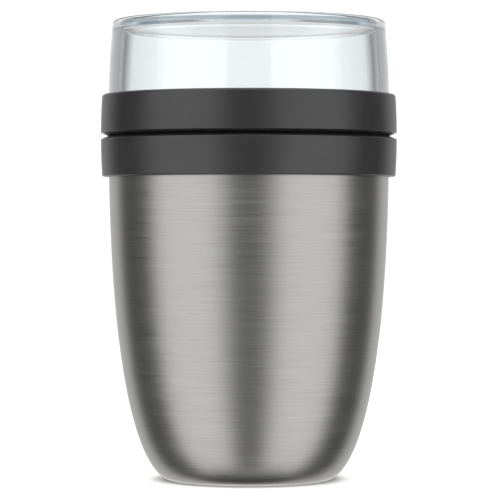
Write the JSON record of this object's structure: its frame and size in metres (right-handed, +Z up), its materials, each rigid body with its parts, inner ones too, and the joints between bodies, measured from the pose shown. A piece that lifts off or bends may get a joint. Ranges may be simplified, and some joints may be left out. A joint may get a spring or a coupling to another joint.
{
  "type": "insulated lunch pot",
  "caption": "Insulated steel lunch pot with a curved body, threaded dark collar, screw lid with sealed plug, and a clear upturned cup that screws into the lid as a top compartment.",
  "frame": {"origin": "centre of the base, on the surface that the pot stands on", "axes": "+Z up along the pot's axis, towards the cup's closed end; +X and +Y across it, with no front or back"},
  "size_m": [0.107, 0.107, 0.1657],
  "materials": {
    "brushed_steel": "satin",
    "liner_steel": "satin",
    "dark_plastic": "satin",
    "clear_plastic": "gloss",
    "silicone": "matte",
    "foam": "matte",
    "solder_glass": "gloss"
  },
  "bodies": {
    "pot": {"outer_shell": "brushed_steel", "inner_liner": "liner_steel", "base_plate": "liner_steel", "base_cover": "brushed_steel", "vacuum_seal_bead": "solder_glass", "getter_ring": "liner_steel", "neck_collar": "dark_plastic", "collar_gasket": "silicone"},
    "lid_sealing": {"lid_seal": "silicone"},
    "lid": {"lid_shell": "dark_plastic", "lid_plug": "dark_plastic", "lid_insulation": "foam"},
    "cup_sealing": {"cup_seal": "silicone"},
    "cup": {"clear_cup": "clear_plastic"}
  },
  "joints": [
    {"name": "lid_lift", "type": "slide", "parent": "pot", "child": "lid_sealing", "axis": [0, 0, 1], "range_m": [0, 0.08]},
    {"name": "lid_turn", "type": "hinge", "parent": "lid_sealing", "child": "lid", "pos_m": [0, 0, 0.131], "axis": [0, 0, 1], "range_deg": [0, 90]},
    {"name": "cup_turn", "type": "hinge", "parent": "lid", "child": "cup_sealing", "pos_m": [0, 0, 0.1344], "axis": [0, 0, 1], "range_deg": [0, 90]},
    {"name": "cup_lift", "type": "slide", "parent": "cup_sealing", "child": "cup", "axis": [0, 0, 1], "range_m": [0, 0.06]}
  ]
}
